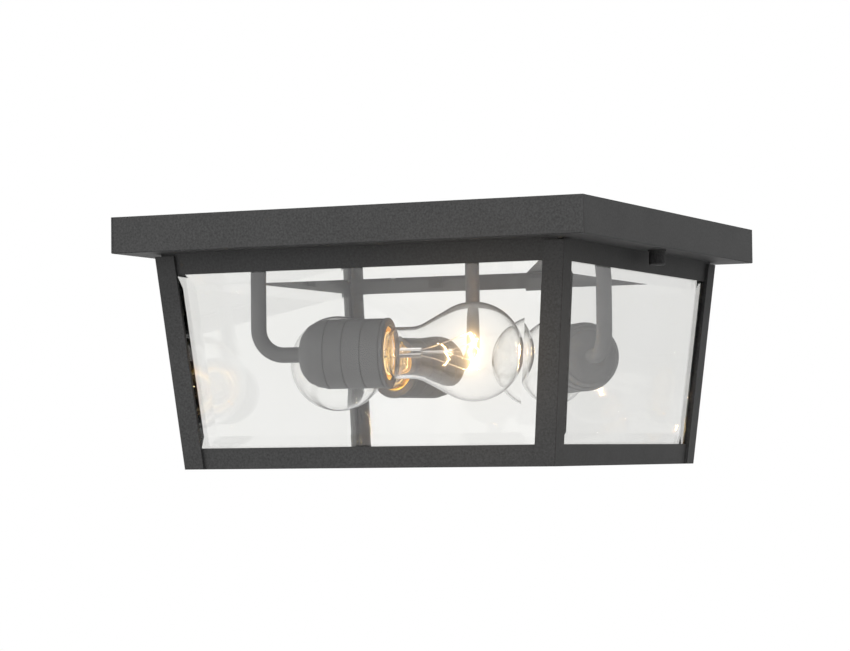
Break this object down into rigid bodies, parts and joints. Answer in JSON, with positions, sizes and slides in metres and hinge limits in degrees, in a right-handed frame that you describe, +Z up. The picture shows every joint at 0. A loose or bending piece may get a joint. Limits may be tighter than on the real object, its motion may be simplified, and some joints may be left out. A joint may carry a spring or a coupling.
{
  "type": "outdoor flush mount light",
  "caption": "Square black flush mount light for a porch ceiling: a canopy pan over a tapered cage with bevelled clear panes, with clear screw bulbs lying flat in sockets on bent arms.",
  "frame": {"origin": "centre of the ceiling plane, on top of the mounting crossbar", "axes": "+Z up into the ceiling, +X along the crossbar towards the right cap nut, -Y towards the front pane"},
  "size_m": [0.3048, 0.3048, 0.1524],
  "materials": {
    "powder_coat": "black sand-textured powder coat",
    "pane_glass": "clear bevelled",
    "zinc_steel": "zinc plated",
    "green_screw": "green",
    "insulator": "glazed porcelain",
    "socket_brass": "bright",
    "hot_lead": "insulation",
    "neutral_lead": "insulation",
    "connector": "moulded",
    "seal_rubber": "matt",
    "bulb_metal": "rolled",
    "bulb_base": "black glass with a solder contact",
    "bulb_glass": "clear blown",
    "filament": "glowing wire"
  },
  "bodies": {
    "fixture": {"arm_lock_nuts": "zinc_steel", "arm_tube_1": "powder_coat", "arm_tube_2": "powder_coat", "arm_tube_3": "powder_coat", "back_bottom_rail": "powder_coat", "back_left_post": "powder_coat", "back_pane": "pane_glass", "back_right_post": "powder_coat", "back_top_rail": "powder_coat", "cage_screws": "zinc_steel", "canopy_pan": "powder_coat", "centre_contacts": "socket_brass", "crossbar_studs": "zinc_steel", "front_bottom_rail": "powder_coat", "front_left_post": "powder_coat", "front_pane": "pane_glass", "front_right_post": "powder_coat", "front_top_rail": "powder_coat", "glass_clips": "powder_coat", "ground_screw": "green_screw", "hot_leads": "hot_lead", "left_bottom_rail": "powder_coat", "left_pane": "pane_glass", "left_top_rail": "powder_coat", "mounting_crossbar": "zinc_steel", "neutral_leads": "neutral_lead", "right_bottom_rail": "powder_coat", "right_pane": "pane_glass", "right_top_rail": "powder_coat", "screw_shell_1": "socket_brass", "screw_shell_2": "socket_brass", "screw_shell_3": "socket_brass", "socket_cup_1": "powder_coat", "socket_cup_2": "powder_coat", "socket_cup_3": "powder_coat", "socket_insulator_1": "insulator", "socket_insulator_2": "insulator", "socket_insulator_3": "insulator", "stud_lock_nuts": "zinc_steel", "wire_connectors": "connector"},
    "bulb_1_travel": {"bulb_base_1": "bulb_base"},
    "bulb_1_turn": {"bulb_cap_1": "bulb_metal", "bulb_glass_1": "bulb_glass", "bulb_stem_1": "bulb_glass", "bulb_filament_1": "filament"},
    "bulb_2_travel": {"bulb_base_2": "bulb_base"},
    "bulb_2_turn": {"bulb_cap_2": "bulb_metal", "bulb_glass_2": "bulb_glass", "bulb_stem_2": "bulb_glass", "bulb_filament_2": "filament"},
    "bulb_3_travel": {"bulb_base_3": "bulb_base"},
    "bulb_3_turn": {"bulb_cap_3": "bulb_metal", "bulb_glass_3": "bulb_glass", "bulb_stem_3": "bulb_glass", "bulb_filament_3": "filament"},
    "nut_left_travel": {"sealing_washer_left": "seal_rubber"},
    "nut_left_turn": {"cap_nut_left": "powder_coat"},
    "nut_right_travel": {"sealing_washer_right": "seal_rubber"},
    "nut_right_turn": {"cap_nut_right": "powder_coat"}
  },
  "joints": [
    {"name": "bulb_1_out", "type": "slide", "parent": "fixture", "child": "bulb_1_travel", "axis": [0.9816, 0.1908, 0], "range_m": [0, 0.01815]},
    {"name": "bulb_1_unscrew", "type": "hinge", "parent": "bulb_1_travel", "child": "bulb_1_turn", "pos_m": [-0.03324, -0.07436, -0.083], "axis": [0.9816, 0.1908, 0], "range_deg": [0, 1800]},
    {"name": "bulb_2_out", "type": "slide", "parent": "fixture", "child": "bulb_2_travel", "axis": [-0.2924, -0.9563, 0], "range_m": [0, 0.01815]},
    {"name": "bulb_2_unscrew", "type": "hinge", "parent": "bulb_2_travel", "child": "bulb_2_turn", "pos_m": [-0.04605, 0.06541, -0.0865], "axis": [-0.2924, -0.9563, 0], "range_deg": [0, 1800]},
    {"name": "bulb_3_out", "type": "slide", "parent": "fixture", "child": "bulb_3_travel", "axis": [-0.6157, 0.788, 0], "range_m": [0, 0.01815]},
    {"name": "bulb_3_unscrew", "type": "hinge", "parent": "bulb_3_travel", "child": "bulb_3_turn", "pos_m": [0.08312, 0.01013, -0.0855], "axis": [-0.6157, 0.788, 0], "range_deg": [0, 1800]},
    {"name": "nut_left_out", "type": "slide", "parent": "fixture", "child": "nut_left_travel", "axis": [0, 0, -1], "range_m": [0, 0.00635]},
    {"name": "nut_left_unscrew", "type": "hinge", "parent": "nut_left_travel", "child": "nut_left_turn", "pos_m": [-0.141, 0, -0.023], "axis": [0, 0, -1], "range_deg": [0, 2880]},
    {"name": "nut_right_out", "type": "slide", "parent": "fixture", "child": "nut_right_travel", "axis": [0, 0, -1], "range_m": [0, 0.00635]},
    {"name": "nut_right_unscrew", "type": "hinge", "parent": "nut_right_travel", "child": "nut_right_turn", "pos_m": [0.141, 0, -0.023], "axis": [0, 0, -1], "range_deg": [0, 2880]}
  ],
  "couplings": [
    {"joint": "bulb_1_out", "follows": "bulb_1_unscrew", "m_per_rad": 0.00057757},
    {"joint": "bulb_2_out", "follows": "bulb_2_unscrew", "m_per_rad": 0.00057757},
    {"joint": "bulb_3_out", "follows": "bulb_3_unscrew", "m_per_rad": 0.00057757},
    {"joint": "nut_left_unscrew", "follows": "nut_left_out", "rad_per_m": 7913.3},
    {"joint": "nut_right_unscrew", "follows": "nut_right_out", "rad_per_m": 7913.3}
  ]
}
